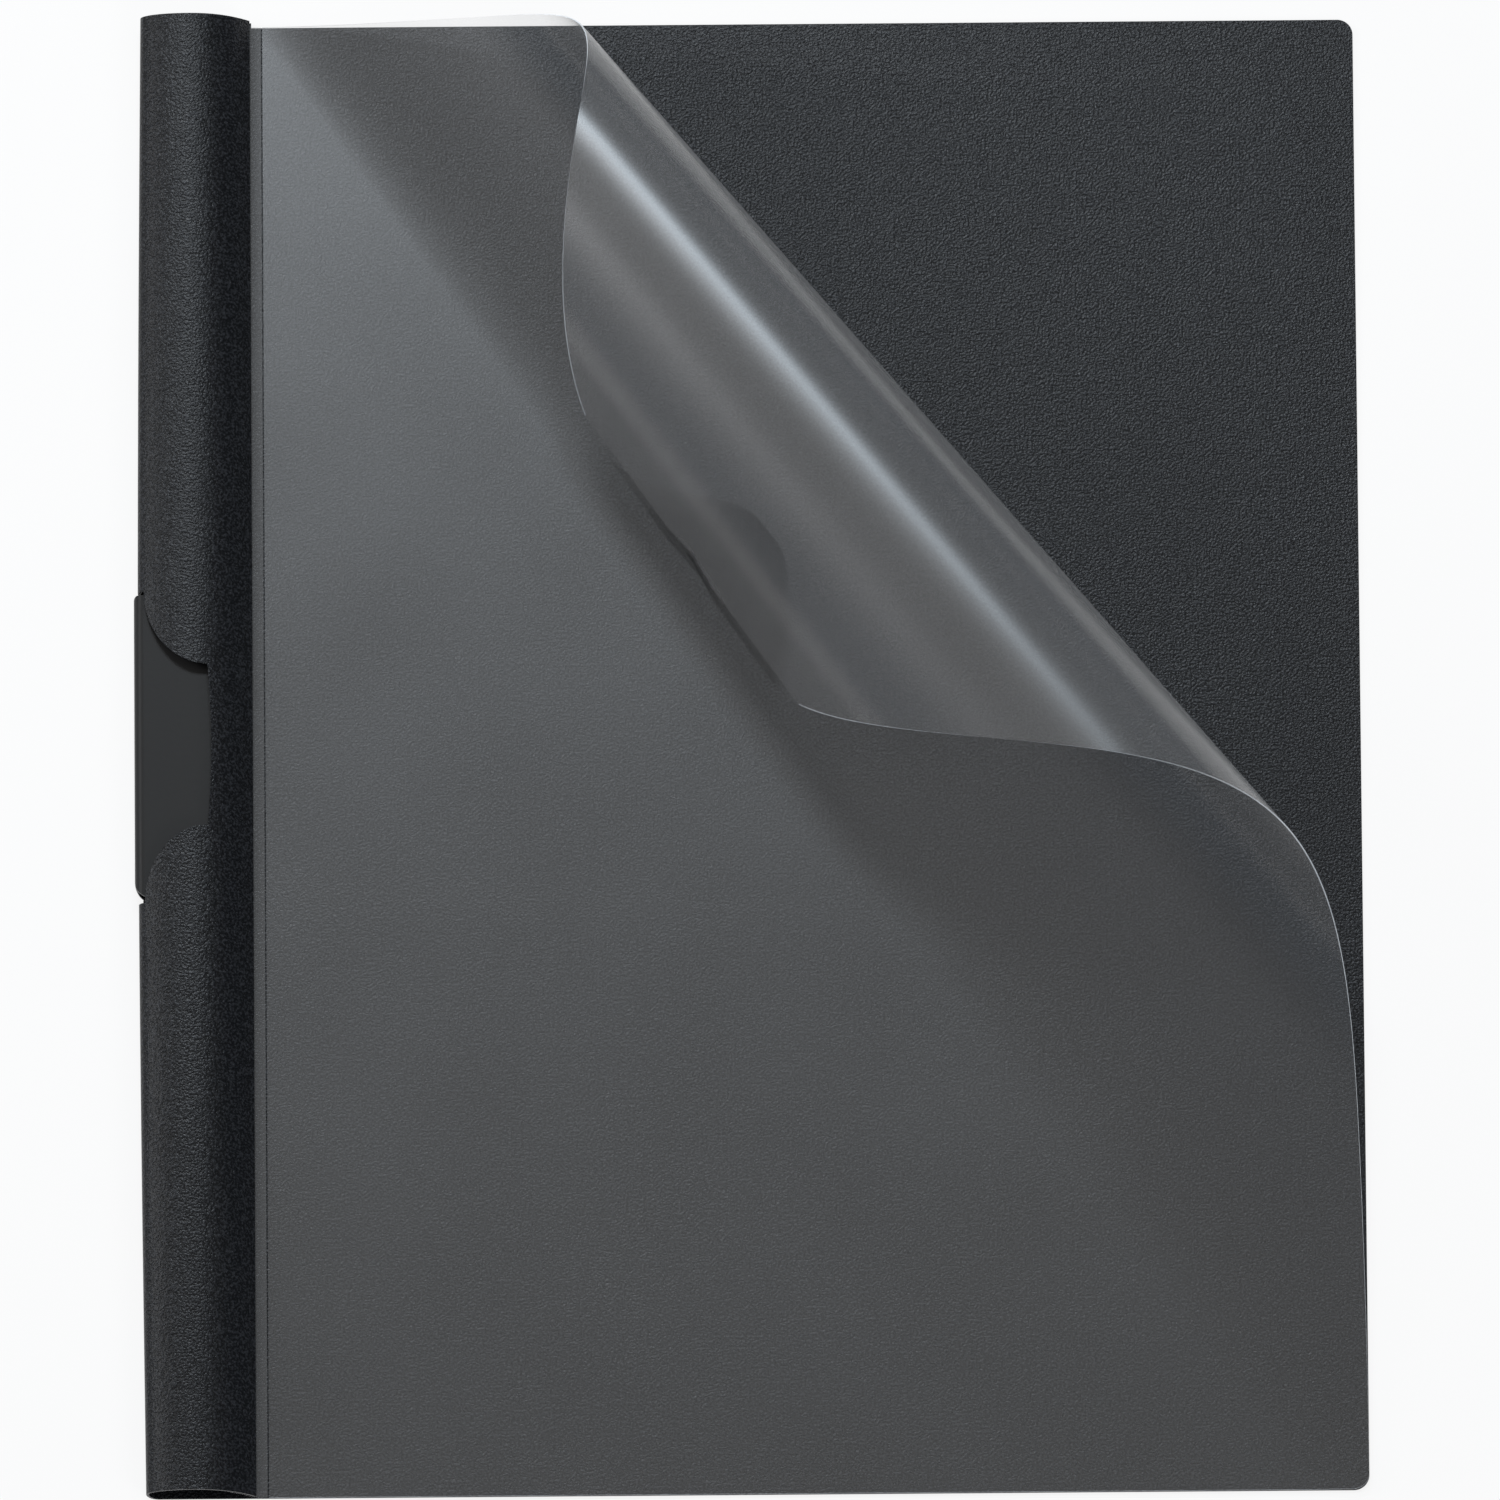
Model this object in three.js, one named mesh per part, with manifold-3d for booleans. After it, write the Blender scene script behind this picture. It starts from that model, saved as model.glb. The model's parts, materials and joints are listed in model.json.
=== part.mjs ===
// A report cover with a swing clip, lying on its back, as a three.js scene graph.
// Millimetres, +Z up. The origin is the middle of the rear panel's underside, +Y runs to the cover's
// top and -X to the spine. A black embossed sheet is folded into a rear panel, a half-round spine and
// a narrow front flap. A clear film hinges beside the flap, with its free upper corner rolled back on
// itself, and a sprung steel clip swings out of a notch in the spine about a rivet.
import * as THREE from 'three';
import { mergeVertices } from 'three/addons/utils/BufferGeometryUtils.js';
import Module from 'manifold-3d';

const wasm = await Module();
wasm.setup();

// Folded sheet
const coverWidth = 233.6; // outer fold of the spine to the free edge
const coverHeight = 292;
const cornerRadius = 3; // the rear panel's two free corners
const sheetThickness = 0.5;
const spineWidth = 21; // outer fold to the flap's free edge
const spineHeight = 8.2; // crest above the underside
const foldHeight = 4.2; // height at which the fold reaches out furthest
const foldDepth = 2.2; // how far the fold curls out past the flat rear panel
const crestInset = 9.3; // crest's distance from the outer fold
const flapSlope = 48; // degrees below level at the flap's free edge
const spineOverhang = 1; // the spine's top end past the rear panel's top edge
const spineBow = 1; // how far the spine bows outwards at the clip
const flapLift = 0.5; // how far the flap's free edge stands clear of the film's margin
const flapHandle = 0.65; // share of the flap's half width over which its free edge stays straight

// Clear film
const filmThickness = 0.25;
const filmCornerRadius = 3;
const scoreOffset = 2.4; // flap's free edge to the scored line that the film hinges on
const marginReach = 5; // how far the film's margin runs in under the flap
const marginHandle = 0.6; // share of a third of the margin's tail that leaves the flap straight
const marginGap = 0.25; // margin's edge to the scored line, so that the film clears it at every angle
const filmGap = 0.15; // the hinged film's edge to the scored line

// The film's rolled corner. It is bent along straight rays that spread from a distant point, so it
// stays a sheet that could be laid flat again. Stations are distances along the film, from the first
// ray towards the rolled corner, and at each the film has a radius.
const rayAngle = 55.75; // degrees that the first ray runs down to the right
const rayDistance = 672; // from the point that the rays spread from to the first ray's foot
const rayOffset = 4; // first ray's distance from the origin
const rollStations = [0, 38, 76, 114, 150, 157];
const rollRadii = [67.6, 192, 14.5, 41.8, 32.5, 8.7];
const rollStrips = 48;

// Swing clip, a channel of spring steel with its back outside the spine
const clipLength = 60.2;
const clipThickness = 0.6;
const clipHeight = 4; // over both jaws
const jawDepth = 15.6; // back of the clip to the jaws' inner edges
const clipProud = 0.7; // how far the clip's back stands outside the bowed spine
const clipCentre = 1.5; // along the spine from the middle
const backCornerRadius = 3.6; // the clip's corner at its back beside the pivot, seen from above
const endCornerRadius = 0.8; // its other corner at the back
const farCornerRadius = 6; // the upper jaw corner, away from the pivot
const nearCornerRadius = 3; // the lower jaw corner, beside the pivot
const pivotInset = 4.8; // from the clip's back to the pivot
const pivotMargin = 4.2; // from the clip's lower end to the pivot

// Notch in the flap
const notchDepth = 12.4; // how far the notch runs in from the outer fold
const notchBulge = 0.7; // how far its inner side bows further in
const notchShoulder = 14.9; // length of each rounded shoulder along the spine
const slotRise = 0.5; // headroom of the side slot over the clip

// Pivot rivet
const shankRadius = 0.9;
const collarRadius = 1.7;
const collarHeight = 0.4;
const headRadius = 1.8;
const headHeight = 0.6;
const headDome = 0.25; // how far the head's rim is lower than its middle
const shoulderRadius = 1.26; // where the dome turns down to its rim
const shoulderDrop = 0.1; // how far the dome has dropped there

const fitGap = 0.3; // clearance between pieces that touch
const cutPast = 5; // how far the cutting shapes run past what they cut
const curveSteps = 10;
const spineSteps = 16;
const turnSteps = 24;
const cornerSteps = 4;
const mergeDistance = 1e-4;
const onRayDistance = 1e-6;

// Places that follow from the sizes
const outerX = -coverWidth / 2;
const freeX = coverWidth / 2;
const lowY = -coverHeight / 2;
const highY = coverHeight / 2;
const flapEdgeX = outerX + spineWidth;
const hingeX = flapEdgeX + scoreOffset;
const filmZ = sheetThickness + fitGap + filmThickness / 2;
const clipBackX = outerX - spineBow - clipProud;
const clipLowY = clipCentre - clipLength / 2;
const clipHighY = clipCentre + clipLength / 2;
const jawEdgeX = clipBackX + jawDepth;
const pivotX = clipBackX + pivotInset;
const pivotY = clipLowY + pivotMargin;
const collarZ = sheetThickness + fitGap;
const lowerJawZ = collarZ + collarHeight + fitGap;
const clipTopZ = lowerJawZ + clipHeight;
const headZ = lowerJawZ + clipThickness + fitGap;
const holeRadius = shankRadius + fitGap;

// The notch is as long as the clip's swing needs at both ends.
const reach = (acrossPivot, alongPivot, radius) =>
  Math.hypot(acrossPivot - radius, alongPivot - radius) + radius;
const lowReach = reach(pivotInset, pivotMargin, backCornerRadius);
const highReach = reach(jawDepth - pivotInset, clipLength - pivotMargin, farCornerRadius);
const notchLowY = pivotY - lowReach - fitGap;
const notchHighY = pivotY + highReach + fitGap;
const notchX = outerX + notchDepth;

function toSolid(geometry) {
  const bare = geometry.clone();
  bare.deleteAttribute('normal');
  bare.deleteAttribute('uv');
  const merged = mergeVertices(bare, mergeDistance);
  return new wasm.Manifold(new wasm.Mesh({
    numProp: 3,
    vertProperties: new Float32Array(merged.attributes.position.array),
    triVerts: new Uint32Array(merged.index.array),
  }));
}

function toGeometry(solid) {
  const mesh = solid.getMesh();
  const geometry = new THREE.BufferGeometry();
  geometry.setAttribute('position', new THREE.BufferAttribute(mesh.vertProperties, 3));
  geometry.setIndex(new THREE.BufferAttribute(mesh.triVerts, 1));
  geometry.computeVertexNormals();
  return geometry;
}

// An upright prism of a plan outline.
function prism(outline, fromZ, toZ) {
  const options = { depth: toZ - fromZ, bevelEnabled: false, curveSegments: curveSteps };
  return toSolid(new THREE.ExtrudeGeometry(outline, options).translate(0, 0, fromZ));
}

// A section drawn across the spine, in X and Z, drawn out along Y.
function alongSpine(section, fromY, toY, steps = 1) {
  const options = { depth: toY - fromY, bevelEnabled: false, steps };
  return new THREE.ExtrudeGeometry(section, options).rotateX(Math.PI / 2).translate(0, toY, 0);
}

// A strip of even thickness along a run of curves, with round stretches sampled.
function stripSection(curves, thickness) {
  const leftSide = [];
  const rightSide = [];
  for (const curve of curves) {
    const steps = curve.isLineCurve ? 1 : curveSteps;
    for (let i = 0; i <= steps; i += 1) {
      if (i === 0 && leftSide.length > 0) continue;
      const point = curve.getPoint(i / steps);
      const tangent = curve.getTangent(i / steps);
      const across = new THREE.Vector2(-tangent.y, tangent.x).multiplyScalar(thickness / 2);
      leftSide.push(point.clone().add(across));
      rightSide.push(point.clone().sub(across));
    }
  }
  return new THREE.Shape([...rightSide, ...leftSide.reverse()]);
}

// A quarter of an oval from one level or upright tangent to the next.
function quarterOval(from, corner, to) {
  const roundness = 0.5523;
  return new THREE.CubicBezierCurve(
    from,
    from.clone().lerp(corner, roundness),
    to.clone().lerp(corner, roundness),
    to,
  );
}

// The flap's slope, from the spine's crest down to its free edge, sunk by a distance for the film
// that is welded inside it.
function flapCurve(sink) {
  const slope = THREE.MathUtils.degToRad(flapSlope);
  const half = sheetThickness / 2;
  const crest = new THREE.Vector2(outerX + crestInset, spineHeight - half);
  const edgeZ = filmZ + filmThickness / 2 + fitGap + half * Math.cos(slope) + flapLift;
  const edge = new THREE.Vector2(flapEdgeX - half * Math.sin(slope), edgeZ);
  const handle = (edge.x - crest.x) / 2;
  const down = new THREE.Vector2(-Math.cos(slope), Math.sin(slope)).multiplyScalar(handle * flapHandle);
  const inward = new THREE.Vector2(-Math.sin(slope), -Math.cos(slope)).multiplyScalar(sink);
  const sunkEdge = edge.clone().add(inward);
  return new THREE.CubicBezierCurve(
    new THREE.Vector2(crest.x, crest.y - sink),
    new THREE.Vector2(crest.x + handle, crest.y - sink),
    sunkEdge.clone().add(down),
    sunkEdge,
  );
}

function sheetSection() {
  const half = sheetThickness / 2;
  const foldX = outerX + half;
  const flatEnd = new THREE.Vector2(foldX + foldDepth, half);
  const widest = new THREE.Vector2(foldX, foldHeight);
  const crest = new THREE.Vector2(outerX + crestInset, spineHeight - half);
  return stripSection([
    new THREE.LineCurve(new THREE.Vector2(freeX, half), flatEnd),
    quarterOval(flatEnd, new THREE.Vector2(foldX, half), widest),
    quarterOval(widest, new THREE.Vector2(foldX, crest.y), crest),
    flapCurve(0),
  ], sheetThickness);
}

// Bows the spine outwards towards the clip, and leaves the flat panel as it is.
function bowSpine(geometry) {
  const place = geometry.attributes.position;
  for (let i = 0; i < place.count; i += 1) {
    const x = place.getX(i);
    const along = Math.min(Math.abs(place.getY(i) - clipCentre) / highY, 1);
    const nearFold = THREE.MathUtils.clamp((outerX + crestInset - x) / crestInset, 0, 1);
    place.setX(i, x - spineBow * Math.cos(along * Math.PI / 2) * nearFold);
  }
  return geometry;
}

function sheetOutline() {
  const outline = new THREE.Shape();
  const past = outerX - spineBow - cutPast;
  const stepX = flapEdgeX + fitGap;
  const r = cornerRadius;
  outline.moveTo(past, lowY);
  outline.lineTo(freeX - r, lowY);
  outline.absarc(freeX - r, lowY + r, r, -Math.PI / 2, 0, false);
  outline.absarc(freeX - r, highY - r, r, 0, Math.PI / 2, false);
  outline.lineTo(stepX, highY);
  outline.lineTo(stepX, highY + spineOverhang);
  outline.lineTo(past, highY + spineOverhang);
  return outline;
}

// The notch seen from above: two rounded shoulders and a side that bows in.
function notchOutline() {
  const outline = new THREE.Shape();
  const past = clipBackX - cutPast;
  const width = notchDepth - sheetThickness / 2;
  outline.moveTo(past, notchHighY);
  outline.lineTo(notchX - width, notchHighY);
  outline.absellipse(notchX, notchHighY, width, notchShoulder, Math.PI, Math.PI * 1.5, false, 0);
  const middleY = (notchLowY + notchHighY) / 2;
  outline.quadraticCurveTo(notchX + 2 * notchBulge, middleY, notchX, notchLowY + notchShoulder);
  outline.absellipse(notchX, notchLowY, width, notchShoulder, Math.PI / 2, Math.PI, false, 0);
  outline.lineTo(past, notchLowY);
  return outline;
}

function rectangle(fromX, fromY, toX, toY) {
  const outline = new THREE.Shape();
  outline.moveTo(fromX, fromY);
  outline.lineTo(toX, fromY);
  outline.lineTo(toX, toY);
  outline.lineTo(fromX, toY);
  return outline;
}

function circle(x, y, radius) {
  return new THREE.Shape().absarc(x, y, radius, 0, Math.PI * 2, false);
}

function foldedCover() {
  const section = bowSpine(
    alongSpine(sheetSection(), lowY, highY + spineOverhang, spineSteps),
  );
  const slotFloor = lowerJawZ - fitGap;
  const slotMiddle = lowerJawZ + clipHeight / 2;
  const past = clipBackX - cutPast;
  const jawSlot = rectangle(past, notchLowY, outerX + foldDepth, notchHighY);
  const backSlot = rectangle(past, notchLowY, clipBackX + clipHeight / 2 + fitGap, notchHighY);
  const solid = toSolid(section)
    .intersect(prism(sheetOutline(), -cutPast, spineHeight + cutPast))
    .subtract(prism(notchOutline(), slotFloor, spineHeight + cutPast))
    .subtract(prism(jawSlot, slotFloor, slotMiddle))
    .subtract(prism(backSlot, slotFloor, clipTopZ + slotRise))
    .subtract(prism(circle(pivotX, pivotY, holeRadius), -cutPast, sheetThickness + fitGap));
  return toGeometry(solid);
}

// The clip's channel, cut to its rounded plan, with the pivot hole in its lower jaw.
function swingClip() {
  const half = clipThickness / 2;
  const bend = clipHeight / 2;
  const backX = clipBackX + half;
  const lowZ = lowerJawZ + half;
  const topZ = clipTopZ - half;
  const midZ = (lowZ + topZ) / 2;
  const section = stripSection([
    new THREE.LineCurve(new THREE.Vector2(jawEdgeX, lowZ), new THREE.Vector2(clipBackX + bend, lowZ)),
    quarterOval(
      new THREE.Vector2(clipBackX + bend, lowZ),
      new THREE.Vector2(backX, lowZ),
      new THREE.Vector2(backX, midZ),
    ),
    quarterOval(
      new THREE.Vector2(backX, midZ),
      new THREE.Vector2(backX, topZ),
      new THREE.Vector2(clipBackX + bend, topZ),
    ),
    new THREE.LineCurve(new THREE.Vector2(clipBackX + bend, topZ), new THREE.Vector2(jawEdgeX, topZ)),
  ], clipThickness);
  const plan = new THREE.Shape();
  const back = backCornerRadius;
  const end = endCornerRadius;
  const near = nearCornerRadius;
  const far = farCornerRadius;
  plan.absarc(clipBackX + back, clipLowY + back, back, Math.PI, Math.PI * 1.5, false);
  plan.absarc(jawEdgeX - near, clipLowY + near, near, Math.PI * 1.5, Math.PI * 2, false);
  plan.absarc(jawEdgeX - far, clipHighY - far, far, 0, Math.PI / 2, false);
  plan.absarc(clipBackX + end, clipHighY - end, end, Math.PI / 2, Math.PI, false);
  const hole = circle(pivotX, pivotY, holeRadius);
  const solid = toSolid(alongSpine(section, clipLowY - cutPast, clipHighY + cutPast))
    .intersect(prism(plan, 0, clipTopZ + cutPast))
    .subtract(prism(hole, 0, midZ));
  return toGeometry(solid);
}

// Shank, collar and domed head, turned about the pivot.
function pivotRivet() {
  const headTop = headZ + headHeight;
  const profile = [
    [0, 0],
    [shankRadius, 0],
    [shankRadius, collarZ],
    [collarRadius, collarZ],
    [collarRadius, collarZ + collarHeight],
    [shankRadius, collarZ + collarHeight],
    [shankRadius, headZ],
    [headRadius, headZ],
    [headRadius, headTop - headDome],
    [shoulderRadius, headTop - shoulderDrop],
    [0, headTop],
  ].map(([radius, z]) => new THREE.Vector2(radius, z));
  return new THREE.LatheGeometry(profile, turnSteps).rotateX(Math.PI / 2);
}

// The film's margin: welded inside the flap, then down to the scored line.
function filmMargin() {
  const sink = sheetThickness / 2 + fitGap + filmThickness / 2;
  const inside = flapCurve(sink);
  const startX = flapEdgeX - marginReach;
  const points = inside.getPoints(4 * curveSteps).filter((point) => point.x > startX);
  const slope = THREE.MathUtils.degToRad(flapSlope);
  const edge = inside.getPoint(1);
  const end = new THREE.Vector2(hingeX - marginGap, filmZ);
  const handle = (end.x - edge.x) / 3;
  const down = new THREE.Vector2(Math.cos(slope), -Math.sin(slope)).multiplyScalar(handle * marginHandle);
  const tail = new THREE.CubicBezierCurve(
    edge,
    edge.clone().add(down),
    new THREE.Vector2(end.x - handle, end.y),
    end,
  );
  const bent = new THREE.SplineCurve(points);
  return alongSpine(stripSection([bent, tail], filmThickness), lowY, highY);
}

// The straight rays that the film is bent along, each with the turn that the film has made once it
// is past that ray.
function bendRays() {
  const first = -THREE.MathUtils.degToRad(rayAngle);
  const along = new THREE.Vector2(Math.cos(first), Math.sin(first));
  const across = new THREE.Vector2(-along.y, along.x);
  const source = across.clone().multiplyScalar(rayOffset).addScaledVector(along, -rayDistance);
  const corner = new THREE.Vector2(freeX, highY).sub(source);
  const spread = Math.atan2(corner.dot(across), corner.dot(along));
  const turned = new THREE.Matrix4();
  const rays = [];
  for (let i = 0; i < rollStrips; i += 1) {
    const angle = spread * i / rollStrips;
    const heading = along.clone().rotateAround(new THREE.Vector2(), angle);
    const turn = sharpnessAt(angle * rayDistance) * spread * rayDistance / rollStrips;
    const axis = new THREE.Vector3(heading.x, heading.y, 0);
    turned.multiply(new THREE.Matrix4().makeRotationAxis(axis, turn));
    rays.push({ heading, turned: turned.clone() });
  }
  return { source, rays };
}

// The film's turn in radians for each mm, at a distance past the first ray.
function sharpnessAt(length) {
  const next = rollStations.findIndex((station) => station > length);
  if (next < 0) return 1 / rollRadii.at(-1);
  const share = (length - rollStations[next - 1]) / (rollStations[next] - rollStations[next - 1]);
  return THREE.MathUtils.lerp(1 / rollRadii[next - 1], 1 / rollRadii[next], share);
}

// How far a flat point lies past a ray, on the rolled corner's side.
const pastRay = (point, source, ray) => ray.heading.cross(point.clone().sub(source));

// The part of a convex outline past a ray, or short of it.
function cutByRay(outline, source, ray, keepPast) {
  const kept = [];
  const sign = keepPast ? 1 : -1;
  outline.forEach((point, i) => {
    const next = outline[(i + 1) % outline.length];
    const here = sign * pastRay(point, source, ray);
    const there = sign * pastRay(next, source, ray);
    if (here >= 0) kept.push(point);
    if (here * there < 0) kept.push(point.clone().lerp(next, here / (here - there)));
  });
  return kept;
}

function filmOutline() {
  const outline = new THREE.Shape();
  const r = filmCornerRadius;
  outline.moveTo(hingeX + filmGap, highY);
  outline.lineTo(hingeX + filmGap, lowY);
  outline.absarc(freeX - r, lowY + r, r, -Math.PI / 2, 0, false);
  outline.absarc(freeX - r, highY - r, r, 0, Math.PI / 2, false);
  return outline.getPoints(cornerSteps);
}

// The hinged film. Each strip between two rays is flat, and is turned as far as the bends before it.
function frontFilm() {
  const { source, rays } = bendRays();
  const outline = filmOutline();
  const level = { turned: new THREE.Matrix4() };
  const turns = [level, ...rays];
  const up = (strip) => new THREE.Vector3(0, 0, 1).transformDirection(turns[strip].turned);
  const triangles = [];
  const rayOf = (point, strip) => {
    const onRay = (i) => rays[i] && Math.abs(pastRay(point, source, rays[i])) < onRayDistance;
    if (onRay(strip - 1)) return strip - 1;
    return onRay(strip) ? strip : -1;
  };
  const place = (point, strip, side) => {
    const ray = rayOf(point, strip);
    const facing = ray < 0 ? up(strip) : up(ray).add(up(ray + 1)).normalize();
    return new THREE.Vector3(point.x - source.x, point.y - source.y, 0)
      .applyMatrix4(turns[strip].turned)
      .add(new THREE.Vector3(source.x, source.y, filmZ))
      .addScaledVector(facing, side * filmThickness / 2);
  };
  for (let strip = 0; strip <= rays.length; strip += 1) {
    let flat = outline;
    if (strip > 0) flat = cutByRay(flat, source, rays[strip - 1], true);
    if (strip < rays.length) flat = cutByRay(flat, source, rays[strip], false);
    const over = flat.map((point) => place(point, strip, 1));
    const under = flat.map((point) => place(point, strip, -1));
    for (let i = 1; i + 1 < flat.length; i += 1) {
      triangles.push(over[0], over[i], over[i + 1]);
      triangles.push(under[0], under[i + 1], under[i]);
    }
    flat.forEach((point, i) => {
      const next = (i + 1) % flat.length;
      const ray = rayOf(point, strip);
      if (ray >= 0 && ray === rayOf(flat[next], strip)) return;
      triangles.push(over[i], under[i], under[next], over[i], under[next], over[next]);
    });
  }
  const geometry = new THREE.BufferGeometry().setFromPoints(triangles);
  return mergeVertices(geometry, mergeDistance);
}

const blackSheet = { color: 0x26282b, roughness: 0.55, metalness: 0 };
const clearFilm = { color: 0x9aa0a6, roughness: 0.12, metalness: 0, transparent: true, opacity: 0.35 };
const blackLacquer = { color: 0x37383a, roughness: 0.35, metalness: 0.4 };
const darkRivet = { color: 0x2a2b2d, roughness: 0.4, metalness: 0.6 };

function piece(name, geometry, finish) {
  const mesh = new THREE.Mesh(geometry, new THREE.MeshStandardMaterial(finish));
  mesh.name = name;
  return mesh;
}

const rivet = piece('pivot_rivet', pivotRivet(), darkRivet);
rivet.position.set(pivotX, pivotY, 0);

const cover = new THREE.Group();
cover.add(
  piece('folded_cover', foldedCover(), blackSheet),
  piece('film_margin', filmMargin(), clearFilm),
  piece('front_film', frontFilm(), clearFilm),
  piece('swing_clip', swingClip(), blackLacquer),
  rivet,
);

export default cover;
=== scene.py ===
# %% [markdown]
# # A clear-front report cover with a swing clip
#
# The cover lies on its back. A black embossed sheet is folded into a rear panel, a rounded spine and
# a narrow flap. A clear film is welded inside the flap and hinges on a scored line, and its upper
# right corner is rolled back on itself. A lacquered steel clip sits in a notch of the spine.
#
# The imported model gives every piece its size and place. This lesson adds what a camera sees: the
# grain of the sheet, the gloss of the film, the lacquer of the clip and the light on them all.

import json
import math

import bmesh
import bpy
from mathutils import Matrix, Vector


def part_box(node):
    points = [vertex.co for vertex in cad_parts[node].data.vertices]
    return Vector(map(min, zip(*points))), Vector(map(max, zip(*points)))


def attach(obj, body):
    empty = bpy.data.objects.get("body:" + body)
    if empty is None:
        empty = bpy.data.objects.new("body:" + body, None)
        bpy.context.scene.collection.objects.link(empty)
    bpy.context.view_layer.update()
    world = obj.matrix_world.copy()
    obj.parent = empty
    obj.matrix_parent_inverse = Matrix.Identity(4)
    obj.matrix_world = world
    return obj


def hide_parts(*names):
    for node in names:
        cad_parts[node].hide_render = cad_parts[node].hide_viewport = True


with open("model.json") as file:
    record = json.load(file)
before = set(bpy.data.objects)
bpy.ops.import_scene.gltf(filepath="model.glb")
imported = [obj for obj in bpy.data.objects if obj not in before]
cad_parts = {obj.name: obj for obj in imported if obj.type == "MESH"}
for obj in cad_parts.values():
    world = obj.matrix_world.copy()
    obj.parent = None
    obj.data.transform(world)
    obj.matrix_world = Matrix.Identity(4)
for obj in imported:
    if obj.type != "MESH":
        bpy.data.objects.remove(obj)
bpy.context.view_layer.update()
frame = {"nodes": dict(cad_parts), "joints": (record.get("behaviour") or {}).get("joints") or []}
nodes = frame["nodes"]
hinge = next(joint for joint in frame["joints"] if joint["name"] == "front_cover_hinge")
print("nodes", sorted(nodes))

# %% [markdown]
# ## Sizes
#
# Blender works in metres, so a millimetre is named once and every size is written with it. The
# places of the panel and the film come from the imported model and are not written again. The packed
# film keeps a little room at its scored line, and a part of that room is closed here. The film's
# thickness lies evenly about the hinge line, so that it clears its margin when it opens.

# %% Sizes that the pieces share
MM = 0.001
PANEL_LOW, PANEL_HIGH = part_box("folded_cover")
FILM_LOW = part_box("front_film")[0]
FREE_EDGE = PANEL_HIGH.x
FILM_BOTTOM = PANEL_LOW.y
FILM_TOP = -FILM_BOTTOM
SCORE_CLOSING = 0.12 * MM
FILM_LEFT = FILM_LOW.x - SCORE_CLOSING
FILM_THICKNESS = 0.25 * MM
FILM_UNDERSIDE = hinge["pos_m"][2] - FILM_THICKNESS / 2
film_size = (FREE_EDGE - FILM_LEFT, FILM_TOP - FILM_BOTTOM)
print("film in mm", [round(length / MM, 1) for length in film_size])

# %% [markdown]
# ## The camera
#
# The photograph was taken from almost straight above with a long lens: opposite edges of the cover
# stay parallel. A perspective camera from far away does the same and still works from any side. Its
# tilt is read from how far the raised spine shifts against the panel, and its small roll from the
# slope of the cover's edges.

# %% Place the camera
PHOTO_PIXELS = 1500
PIXELS_PER_MM = 5.211
PHOTO_CENTRE_OF_PANEL = (752.2, 756.6)
CAMERA_LENS = 1000.0
SENSOR = 36.0
CAMERA_TILT = math.radians(15)
CAMERA_ROLL = math.radians(-0.45)


def make_camera():
    picture_width = PHOTO_PIXELS / PIXELS_PER_MM * MM
    distance = CAMERA_LENS / SENSOR * picture_width
    middle = PHOTO_PIXELS / 2
    right = (middle - PHOTO_CENTRE_OF_PANEL[0]) / PIXELS_PER_MM * MM
    up = (PHOTO_CENTRE_OF_PANEL[1] - middle) / PIXELS_PER_MM * MM
    aim = Vector((right, up / math.cos(CAMERA_TILT), 0.0))
    back = Vector((0.0, -math.sin(CAMERA_TILT), math.cos(CAMERA_TILT)))
    data = bpy.data.cameras.new("camera")
    data.lens = CAMERA_LENS
    data.sensor_width = SENSOR
    data.clip_end = 4 * distance
    camera = bpy.data.objects.new("camera", data)
    camera.location = aim + back * distance
    facing = (-back).to_track_quat("-Z", "Y").to_matrix().to_4x4()
    turn = facing @ Matrix.Rotation(CAMERA_ROLL, 4, "Z")
    camera.rotation_euler = turn.to_euler()
    bpy.context.scene.collection.objects.link(camera)
    bpy.context.scene.camera = camera
    print("camera", round(distance, 2), "m away")


make_camera()

# %% [markdown]
# ## Writing shader maths as Python
#
# A node tree is easier to read as an expression. `Socket` wraps a socket, so that a sum, a product or
# a power makes a Math node. `Recipe` holds one tree, and its `node` makes any other node from its
# settings and the values of its sockets.


# %% A wrapper for sockets
class Socket:
    def __init__(self, tree, socket):
        self.tree = tree
        self.socket = socket

    def math(self, operation, other):
        return self.tree.node("ShaderNodeMath", {"operation": operation}, {0: self, 1: other})

    def __add__(self, other):
        return self.math("ADD", other)

    __radd__ = __add__

    def __mul__(self, other):
        return self.math("MULTIPLY", other)

    __rmul__ = __mul__

    def __pow__(self, other):
        return self.math("POWER", other)


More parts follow.
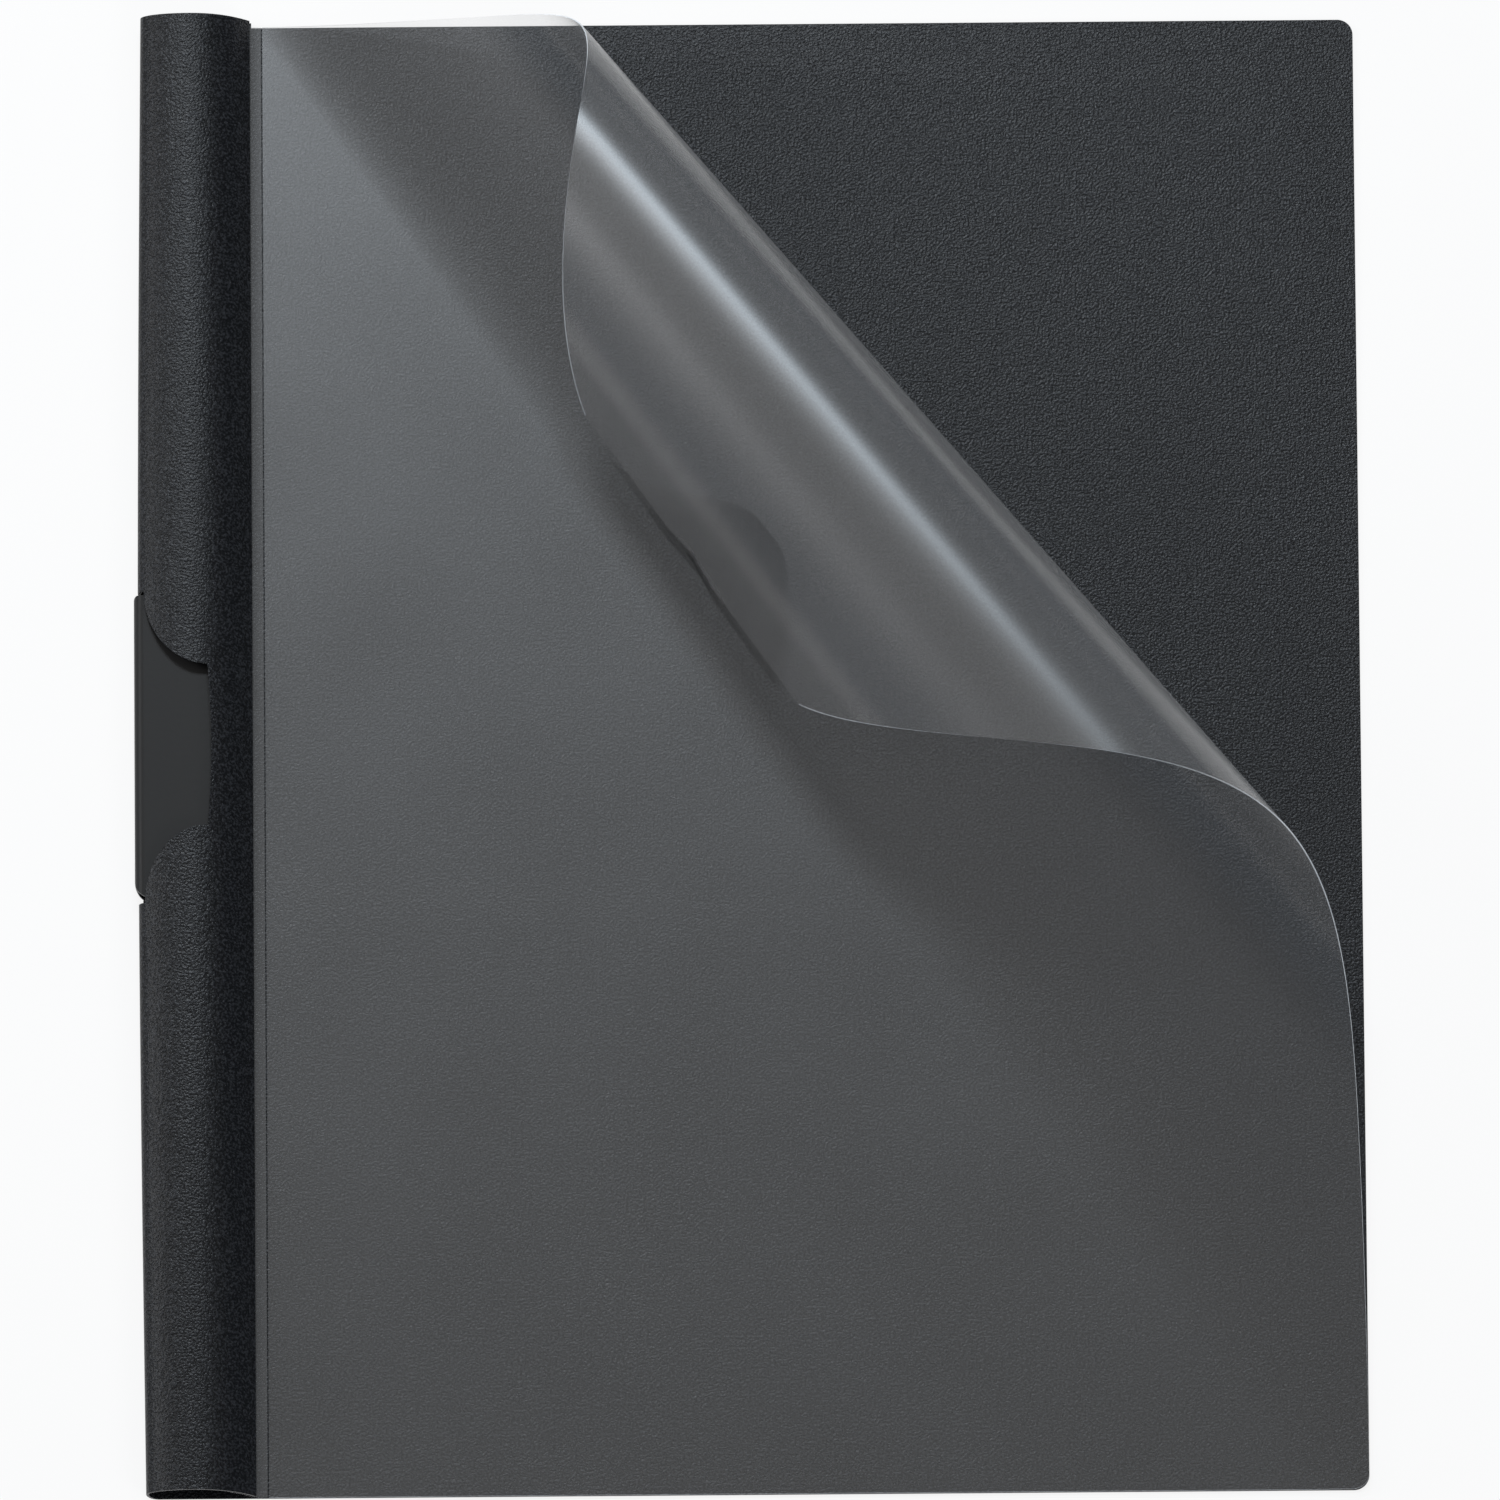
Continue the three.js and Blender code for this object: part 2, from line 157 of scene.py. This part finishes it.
class Recipe:
    """The nodes of a material or a world: node() makes one, and end() joins the last to the output."""

    def __init__(self, owner, output_kind):
        owner.use_nodes = True
        self.owner = owner
        self.nodes = owner.node_tree.nodes
        self.links = owner.node_tree.links
        self.nodes.clear()
        self.output = self.nodes.new(output_kind)

    def node(self, kind, settings, values, output=0):
        made = self.nodes.new(kind)
        for name, setting in settings.items():
            if name == "ramp":
                for element, (place, colour) in zip(made.color_ramp.elements, setting):
                    element.position = place
                    element.color = (*colour, 1.0)
            else:
                setattr(made, name, setting)
        for name, value in values.items():
            self.feed(made.inputs[name], value)
        return Socket(self, made.outputs[output])

    def feed(self, target, value):
        if isinstance(value, Socket):
            self.links.new(value.socket, target)
        else:
            target.default_value = value

    def noise(self, scale, detail, roughness=0.5):
        place = self.node("ShaderNodeTexCoord", {}, {}, "Object")
        values = {"Vector": place, "Scale": scale, "Detail": detail, "Roughness": roughness}
        return self.node("ShaderNodeTexNoise", {"noise_dimensions": "3D"}, values)

    def ramp(self, value, stops, colours):
        return self.node("ShaderNodeValToRGB", {"ramp": list(zip(stops, colours))}, {"Fac": value})

    def bump(self, height, distance, strength):
        values = {"Height": height, "Distance": distance, "Strength": strength}
        return self.node("ShaderNodeBump", {}, values, "Normal")

    def end(self, shader):
        self.links.new(shader.socket, self.output.inputs["Surface"])
        return self.owner


def recipe(name):
    return Recipe(bpy.data.materials.new(name), "ShaderNodeOutputMaterial")


def principled(finish, values):
    return finish.end(finish.node("ShaderNodeBsdfPrincipled", {}, values))


# %% [markdown]
# ## Black embossed sheet
#
# The sheet is a semi-matte black plastic with a fine, even grain rolled into it, about half a
# millimetre from bump to bump. Each bump catches a little light, which gives the pale speckle that
# shows most on the spine. A noise at that scale drives both the bump and a painted glint: the tops of
# the bumps are coloured paler, for the light they catch. A second, slow noise keeps the large panel
# from looking like paint.


# %% The sheet's finish
GRAIN_SCALE = 2100.0
GRAIN_DEPTH = 0.16 * MM
# The pale end of the grain's colour ramp is a painted glint on the tops of its bumps.
PAINTED_GLINT_STOPS = (0.44, 0.70)
SHEET_DARK = (0.0020, 0.0022, 0.0028)
SHEET_PAINTED_GLINT = (0.0250, 0.0265, 0.0300)
CLOUD_SCALE = 14.0
SHEET_ROUGHNESS = 0.31
CLOUD_ROUGHNESS = 0.10
SHEET_SPECULAR = 0.26


def black_sheet():
    finish = recipe("black_sheet")
    grain_and_painted_glint = finish.noise(GRAIN_SCALE, detail=1.0, roughness=0.6)
    cloud = finish.noise(CLOUD_SCALE, detail=1.0)
    return principled(finish, {
        # painted glint: the highest bumps of the grain get the paler colour, standing in for the light
        # they catch
        "Base Color": finish.ramp(grain_and_painted_glint, PAINTED_GLINT_STOPS, (SHEET_DARK, SHEET_PAINTED_GLINT)),
        "Roughness": SHEET_ROUGHNESS + CLOUD_ROUGHNESS * cloud,
        "Specular IOR Level": SHEET_SPECULAR,
        "Normal": finish.bump(grain_and_painted_glint, GRAIN_DEPTH, 1.0),
    })


# %% [markdown]
# ## Clear film
#
# A clear film shows itself only by its gloss, a faint haze, and its bright cut edges. Most of each
# ray passes, so the alpha is low. A low alpha dims the gloss too, so the IOR is set higher than the
# plastic's own to give it back. Seen edge-on the film turns paler, which Layer Weight gives. The cut
# edges carry light from the whole sheet, and that light is painted on them as a glow: a paler and
# denser finish of their own.
#
# Two parts of the film lie where the lamps hardly reach: the margin under the flap and the tip tucked
# inside the roll. They get a plainer finish without the high IOR, so they don't flash.


# %% The film's finishes
FILM_TINT = (0.27, 0.265, 0.26)
FILM_ALPHA = 0.085
FILM_GRAZING = 0.8
GRAZING_POWER = 3.0
FILM_IOR = 3.6
FILM_ROUGHNESS = 0.25
SHADED_ROUGHNESS = 0.35
STREAK_SCALE = 35.0
STREAK_ROUGHNESS = 0.05
MARGIN_ALPHA = 0.16
TIP_ALPHA = 0.05
# The cut edges' pale colour and high alpha are a painted glow for the light they carry.
EDGE_PAINTED_GLOW = (0.86, 0.90, 0.94)
EDGE_ROUGHNESS = 0.3
EDGE_ALPHA = 0.55
NICK_SCALE = 400.0
NICK_ALPHA = 0.25


def clear_film():
    finish = recipe("clear_film")
    streaks = finish.noise(STREAK_SCALE, detail=0.0)
    facing = finish.node("ShaderNodeLayerWeight", {}, {"Blend": 0.5}, "Facing")
    return principled(finish, {
        "Base Color": (*FILM_TINT, 1.0),
        "Roughness": FILM_ROUGHNESS + STREAK_ROUGHNESS * streaks,
        "IOR": FILM_IOR,
        "Alpha": FILM_ALPHA + FILM_GRAZING * facing ** GRAZING_POWER,
    })


def shaded_film(name, alpha):
    finish = recipe(name)
    streaks = finish.noise(STREAK_SCALE, detail=0.0)
    return principled(finish, {
        "Base Color": (*FILM_TINT, 1.0),
        "Roughness": SHADED_ROUGHNESS + STREAK_ROUGHNESS * streaks,
        "Alpha": alpha,
    })


def film_edge_painted_glow():
    finish = recipe("film_edge_painted_glow")
    nicks = finish.noise(NICK_SCALE, detail=2.0)
    return principled(finish, {
        # painted glow: the cut edges get a pale, dense colour for the light they carry
        "Base Color": (*EDGE_PAINTED_GLOW, 1.0),
        "Roughness": EDGE_ROUGHNESS,
        "Alpha": EDGE_ALPHA + NICK_ALPHA * nicks,
    })


# %% [markdown]
# ## Lacquered clip and rivet
#
# The clip is spring steel under satin black lacquer: smoother and flatter in tone than the sheet,
# with a slight orange-peel. The rivet is blackened steel, turned, so it is a little brighter.


# %% The metal finishes
LACQUER = (0.012, 0.0118, 0.0116)
WORN_LACQUER = tuple(1.25 * channel for channel in LACQUER)
WEAR_SCALE = 60.0
WEAR_STOPS = (0.3, 0.8)
LACQUER_ROUGHNESS = 0.38
WEAR_ROUGHNESS = 0.1
LACQUER_SPECULAR = 0.22
PEEL_SCALE = 900.0
METAL_BUMP = 0.02 * MM
METAL_BUMP_STRENGTH = 0.5
RIVET_STEEL = (0.05, 0.05, 0.052)
RIVET_METALLIC = 0.8
RIVET_ROUGHNESS = 0.3
MARK_SCALE = 1200.0
MARK_ROUGHNESS = 0.2


def black_lacquer():
    finish = recipe("black_lacquer")
    peel = finish.noise(PEEL_SCALE, detail=2.0)
    wear = finish.noise(WEAR_SCALE, detail=4.0)
    return principled(finish, {
        "Base Color": finish.ramp(wear, WEAR_STOPS, (LACQUER, WORN_LACQUER)),
        "Roughness": LACQUER_ROUGHNESS + WEAR_ROUGHNESS * wear,
        "Specular IOR Level": LACQUER_SPECULAR,
        "Normal": finish.bump(peel, METAL_BUMP, METAL_BUMP_STRENGTH),
    })


def blackened_steel():
    finish = recipe("blackened_steel")
    marks = finish.noise(MARK_SCALE, detail=3.0)
    return principled(finish, {
        "Base Color": (*RIVET_STEEL, 1.0),
        "Metallic": RIVET_METALLIC,
        "Roughness": RIVET_ROUGHNESS + MARK_ROUGHNESS * marks,
        "Normal": finish.bump(marks, METAL_BUMP, METAL_BUMP_STRENGTH),
    })


FINISHES = {
    "sheet": black_sheet(),
    "film": clear_film(),
    "margin": shaded_film("film_margin", MARGIN_ALPHA),
    "tip": shaded_film("film_tip", TIP_ALPHA),
    "edge": film_edge_painted_glow(),
    "lacquer": black_lacquer(),
    "rivet": blackened_steel(),
}

# %% [markdown]
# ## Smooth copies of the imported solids
#
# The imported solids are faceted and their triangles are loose, so light would show every facet of
# the rounded spine and of the clip's bend. A copy of the mesh, merged and shaded smooth up to a sharp
# angle, keeps the exact shape and shows it as one continuous bend with crisp cut edges.


# %% Copy a solid and smooth it
SHARP_ANGLE = math.radians(32)
MERGE_DISTANCE = 0.002 * MM


def shade_smooth(shape):
    for face in shape.faces:
        face.smooth = True
    for edge in shape.edges:
        edge.smooth = edge.is_manifold and edge.calc_face_angle(0.0) < SHARP_ANGLE


def smooth_copy(node, name, finish, body):
    mesh = nodes[node].data.copy()
    shape = bmesh.new()
    shape.from_mesh(mesh)
    bmesh.ops.remove_doubles(shape, verts=shape.verts, dist=MERGE_DISTANCE)
    bmesh.ops.dissolve_degenerate(shape, edges=shape.edges, dist=MERGE_DISTANCE)
    shade_smooth(shape)
    shape.to_mesh(mesh)
    shape.free()
    mesh.materials.clear()
    mesh.materials.append(FINISHES[finish])
    piece = bpy.data.objects.new(name, mesh)
    bpy.context.scene.collection.objects.link(piece)
    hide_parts(node)
    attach(piece, body)
    print(name, len(mesh.polygons), "faces")


smooth_copy("folded_cover", "folded_sheet", "sheet", "cover")
smooth_copy("film_margin", "welded_margin", "margin", "cover")
smooth_copy("swing_clip", "spring_clip", "lacquer", "clip")
smooth_copy("pivot_rivet", "clip_rivet", "rivet", "cover")

# %% [markdown]
# ## The rolled film
#
# A film bends but does not stretch, so its rolled corner has straight lines running along it. Here
# they spread slightly from a distant point, which makes the roll a little wider at its lower end.
# The flat film is cut along those lines with `bisect_plane`, and each vertex is then carried round by
# the turns of the lines before it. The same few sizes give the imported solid, with fewer lines.

# %% The roll's sizes
RAY_ANGLE = math.radians(-55.75)
RAY_DISTANCE = 672 * MM
RAY_OFFSET = 4 * MM
ROLL_STATIONS = (0, 38, 76, 114, 150, 157)
ROLL_RADII = (67.6, 192, 14.5, 41.8, 32.5, 8.7)
TIP_STATION = 148 * MM
ROLL_STEPS = 150
FILM_CORNER = 3 * MM
CROSS_CUTS = 60
CORNER_STEPS = 8
ON_RAY = 1e-6
CUT_TOLERANCE = 1e-7

along = Vector((math.cos(RAY_ANGLE), math.sin(RAY_ANGLE)))
across = Vector((-along.y, along.x))
ray_source = across * RAY_OFFSET - along * RAY_DISTANCE
far_corner = Vector((FREE_EDGE, FILM_TOP)) - ray_source
ray_spread = math.atan2(far_corner.dot(across), far_corner.dot(along))
print("film rolled over", round(ray_spread * RAY_DISTANCE / MM), "mm of its corner")


# %% [markdown]
# ## Carrying points round the roll
#
# Each ray turns all of the film past it by a small angle about itself. The turns are joined in order,
# so a point needs only the last ray before it to know where it ends up. Distances along the film stay
# the same, as they do in a real sheet.


# %% Turn the rays
def sharpness_at(length):
    """The turn for each metre of film, at a length past the first ray."""
    mm = length / MM
    for i in range(len(ROLL_STATIONS) - 1):
        low, high = ROLL_STATIONS[i], ROLL_STATIONS[i + 1]
        if mm <= high:
            share = (mm - low) / (high - low)
            return ((1 - share) / ROLL_RADII[i] + share / ROLL_RADII[i + 1]) / MM
    return 1 / ROLL_RADII[-1] / MM


def bend_rays():
    """Each ray's heading in the flat film, and the turn of the film past it."""
    turned = Matrix.Identity(3)
    rays = []
    for i in range(ROLL_STEPS):
        angle = ray_spread * i / ROLL_STEPS
        heading = Vector((math.cos(RAY_ANGLE + angle), math.sin(RAY_ANGLE + angle), 0.0))
        turn = sharpness_at(angle * RAY_DISTANCE) * ray_spread * RAY_DISTANCE / ROLL_STEPS
        turned = turned @ Matrix.Rotation(turn, 3, heading)
        rays.append((heading, turned.copy()))
    return rays


rays = bend_rays()


def ray_angle(point):
    reach = Vector((point.x, point.y)) - ray_source
    return math.atan2(reach.dot(across), reach.dot(along))


def bent(point):
    """Where a point of the flat film lies once the corner is rolled."""
    reach = Vector((point.x, point.y)) - ray_source
    angle = ray_angle(point)
    passed = math.floor(angle / ray_spread * ROLL_STEPS + ON_RAY)
    if passed < 0:
        return Vector((point.x, point.y, FILM_UNDERSIDE))
    turned = rays[min(passed, ROLL_STEPS - 1)][1]
    return Vector((*ray_source, FILM_UNDERSIDE)) + turned @ Vector((reach.x, reach.y, 0.0))


# %% [markdown]
# ## A small buckle
#
# A film that is rolled tight creases a little where its bend is sharpest. One shallow dent at the left
# edge of the roll, pushed inwards and fading out over a few millimetres, breaks the even outline.


# %% A small buckle
BUCKLE_PLACE = Vector((-11.5, 33.4, 16.0)) * MM
BUCKLE_REACH = 8 * MM
BUCKLE_DEPTH = 1.8 * MM
BUCKLE_INWARD = Vector((0.83, 0.56, 0.0))


def buckled(place):
    """The place of a bent point once the tight edge of the roll has given way a little."""
    share = (place - BUCKLE_PLACE).length / BUCKLE_REACH
    if share >= 1:
        return place
    return place + BUCKLE_INWARD * BUCKLE_DEPTH * (1 - share ** 2) ** 2


# %% [markdown]
# ## Cutting, bending and thickening
#
# The flat film is one rectangle with two rounded corners. It is cut along every ray and across in even
# steps before it is bent, then thickened. The side faces get the cut edges' painted glow, and the
# tucked tip gets its own finish, for which each vertex remembers how far past the tip's first line it
# lay.


# %% Cut, bend and thicken the film
def rolled_film():
    shape = bmesh.new()
    bmesh.ops.create_grid(shape, x_segments=1, y_segments=1, size=0.5)
    size = Vector((*film_size, 1.0))
    middle = Vector(((FREE_EDGE + FILM_LEFT) / 2, 0.0, 0.0))
    bmesh.ops.scale(shape, vec=size, verts=shape.verts)
    bmesh.ops.translate(shape, vec=middle, verts=shape.verts)
    corners = [v for v in shape.verts if v.co.x > 0]
    bmesh.ops.bevel(
        shape,
        geom=corners,
        affect="VERTICES",
        offset=FILM_CORNER,
        segments=CORNER_STEPS,
        profile=0.5,
        material=-1,
    )
    cuts = [(Vector((*ray_source, 0.0)), heading.cross(Vector((0, 0, 1)))) for heading, _ in rays]
    for i in range(1, CROSS_CUTS):
        place = Vector((0.0, FILM_BOTTOM + film_size[1] * i / CROSS_CUTS, 0.0))
        cuts.append((place, Vector((0.0, 1.0, 0.0))))
    for place, normal in cuts:
        everything = shape.verts[:] + shape.edges[:] + shape.faces[:]
        bmesh.ops.bisect_plane(
            shape, geom=everything, dist=CUT_TOLERANCE, plane_co=place, plane_no=normal
        )
    tucked = shape.verts.layers.float.new("tucked")
    for vertex in shape.verts:
        vertex[tucked] = max(ray_angle(vertex.co) * RAY_DISTANCE - TIP_STATION, 0.0)
        vertex.co = buckled(bent(vertex.co))
    bmesh.ops.recalc_face_normals(shape, faces=shape.faces)
    flat_faces = len(shape.faces)
    bmesh.ops.solidify(shape, geom=shape.faces[:], thickness=FILM_THICKNESS)
    shape.faces.ensure_lookup_table()
    shade_smooth(shape)
    # The side faces take the cut edges' painted glow.
    for face in shape.faces[2 * flat_faces:]:
        face.material_index = 1
    for face in shape.faces:
        if min(vertex[tucked] for vertex in face.verts) > 0:
            face.material_index = 2
    mesh = bpy.data.meshes.new("rolled_film")
    shape.to_mesh(mesh)
    shape.free()
    for finish in ("film", "edge", "tip"):
        mesh.materials.append(FINISHES[finish])
    piece = bpy.data.objects.new("rolled_film", mesh)
    bpy.context.scene.collection.objects.link(piece)
    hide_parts("front_film")
    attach(piece, "front")
    print("rolled film", len(mesh.polygons), "faces")


rolled_film()

# %% [markdown]
# ## Floor
#
# The cover was photographed on white. The floor glows for the camera, in reflections and through the
# film, and for all other light it is plain pale paint. It glows a little less than fully, so it still
# shows a part of the cover's soft shadow.

# %% The floor
FLOOR_SIZE = 6.0
FLOOR_DROP = 0.2 * MM
FLOOR_GLOW = 0.85
FLOOR_PAINT = (0.88, 0.88, 0.88)
WHITE = (1.0, 1.0, 1.0, 1.0)


def make_floor():
    finish = recipe("floor")
    seen = finish.node("ShaderNodeLightPath", {}, {}, "Is Camera Ray")
    mirrored = finish.node("ShaderNodeLightPath", {}, {}, "Is Glossy Ray")
    through = finish.node("ShaderNodeLightPath", {}, {}, "Is Transmission Ray")
    shown = (seen + mirrored + through) * FLOOR_GLOW
    paint = finish.node("ShaderNodeBsdfDiffuse", {}, {"Color": (*FLOOR_PAINT, 1.0)})
    glow = finish.node("ShaderNodeEmission", {}, {"Color": WHITE, "Strength": 1.0})
    finish.end(finish.node("ShaderNodeMixShader", {}, {0: shown, 1: paint, 2: glow}))
    shape = bmesh.new()
    bmesh.ops.create_grid(shape, x_segments=1, y_segments=1, size=FLOOR_SIZE / 2)
    bmesh.ops.translate(shape, vec=Vector((0.0, 0.0, -FLOOR_DROP)), verts=shape.verts)
    mesh = bpy.data.meshes.new("floor")
    shape.to_mesh(mesh)
    shape.free()
    mesh.materials.append(finish.owner)
    floor = bpy.data.objects.new("floor", mesh)
    bpy.context.scene.collection.objects.link(floor)


make_floor()


# %% [markdown]
# ## Room
#
# The film's gloss mirrors the room, so the room can't be one flat colour. It is palest in the direction
# of the ceiling and falls to a bluer grey away from it. The camera itself sees plain white.


# %% The room's own light
FAR_SIDE = (0.10, 0.13, 0.17)
CEILING = (0.37, 0.355, 0.34)
CEILING_HEADING = (-0.14, 0.32, 0.94)
ROOM_STOPS = (0.35, 1.0)


def make_world():
    world = bpy.data.worlds.new("world")
    bpy.context.scene.world = world
    sky = Recipe(world, "ShaderNodeOutputWorld")
    heading = sky.node("ShaderNodeTexCoord", {}, {}, "Generated")
    values = {0: heading, 1: CEILING_HEADING}
    nearness = sky.node("ShaderNodeVectorMath", {"operation": "DOT_PRODUCT"}, values, "Value")
    room = sky.ramp(nearness, ROOM_STOPS, (FAR_SIDE, CEILING))
    room_light = sky.node("ShaderNodeBackground", {}, {"Color": room, "Strength": 1.0})
    white = sky.node("ShaderNodeBackground", {}, {"Color": WHITE, "Strength": 1.0})
    seen = sky.node("ShaderNodeLightPath", {}, {}, "Is Camera Ray")
    sky.end(sky.node("ShaderNodeMixShader", {}, {0: seen, 1: room_light, 2: white}))


make_world()


# %% [markdown]
# ## Lamps
#
# Two small lamps hang beyond the cover's top edge: the key lights the grain and the film's upper left,
# and the strip draws the long pale streak on the rolled film. Two large ones, in front and at the
# left, soften the shadows. Each row holds a name, a place in metres, a size, a power in watts, a
# colour and the way the lamp's first side runs.


# %% The lamps
ROLL_AXIS = (0.56, -0.83, 0.0)
LAMPS = (
    ("key", (-0.20, 0.64, 0.95), (0.22, 0.22), 4.6, (0.88, 0.94, 1.0), (1.0, 0.0, 0.0)),
    ("strip", (0.02, 0.57, 0.92), (0.14, 0.13), 1.7, (0.78, 0.90, 1.0), ROLL_AXIS),
    ("fill", (0.70, -0.95, 0.90), (0.60, 0.60), 5.3, (1.0, 0.98, 0.96), (1.0, 0.0, 0.0)),
    ("left", (-1.10, 0.25, 0.75), (0.60, 0.60), 5.5, (0.97, 0.98, 1.0), (0.0, 1.0, 0.0)),
)


def area_lamp(name, place, size, power, colour, long_side):
    data = bpy.data.lights.new(name, "AREA")
    data.shape = "RECTANGLE"
    data.size, data.size_y = size
    data.energy = power
    data.color = colour
    lamp = bpy.data.objects.new(name, data)
    lamp.location = place
    back = Vector(place).normalized()
    side = Vector(long_side)
    side = (side - back * side.dot(back)).normalized()
    lamp.rotation_euler = Matrix((side, back.cross(side), back)).transposed().to_euler()
    bpy.context.scene.collection.objects.link(lamp)


for lamp_values in LAMPS:
    area_lamp(*lamp_values)

bpy.context.scene.view_settings.view_transform = "Standard"
